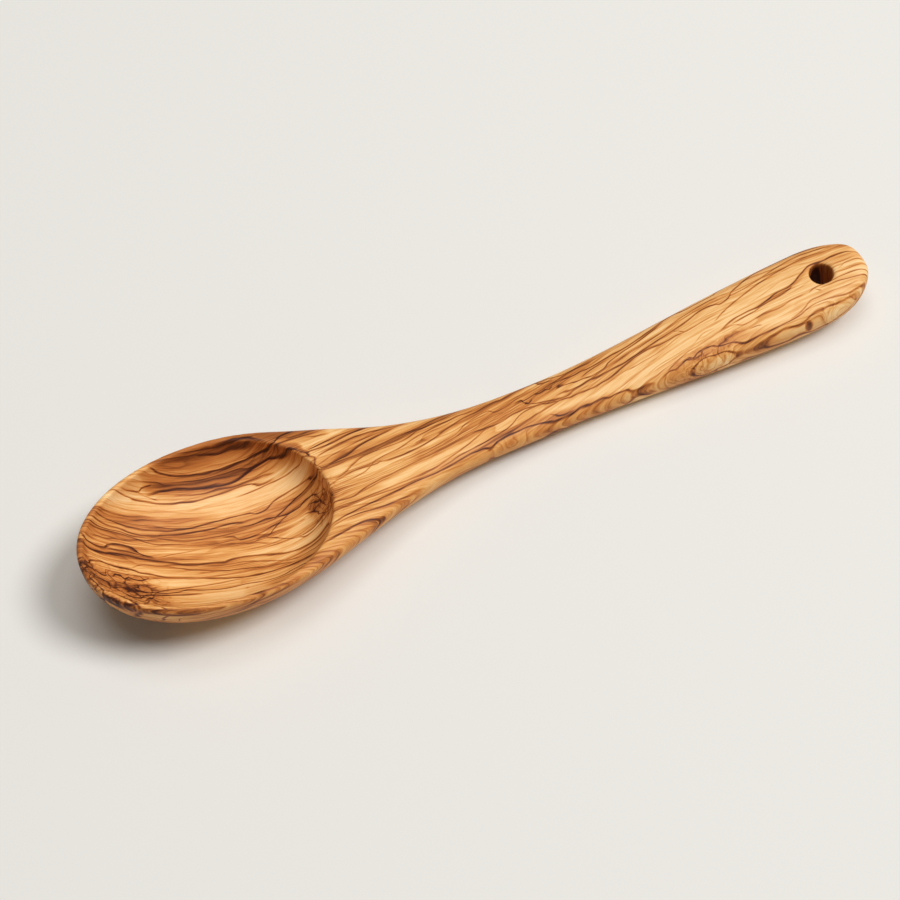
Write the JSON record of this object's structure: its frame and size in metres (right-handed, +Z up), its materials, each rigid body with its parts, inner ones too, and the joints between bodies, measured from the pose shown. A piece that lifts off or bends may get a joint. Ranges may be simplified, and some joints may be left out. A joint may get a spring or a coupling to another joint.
{
  "type": "wooden cooking spoon",
  "caption": "Carved wooden cooking spoon with a deep oval bowl, a slim waisted handle and a round hanging hole near the handle's end.",
  "frame": {"origin": "on the table plane, under the middle of the spoon's bounding box", "axes": "+X runs from the bowl's tip to the handle's end, +Y is across the spoon, +Z is up with the hollow of the bowl facing up"},
  "size_m": [0.3035, 0.064, 0.0319],
  "materials": {
    "olive_wood": "oiled satin"
  },
  "bodies": {
    "root": {"spoon": "olive_wood"}
  },
  "joints": []
}
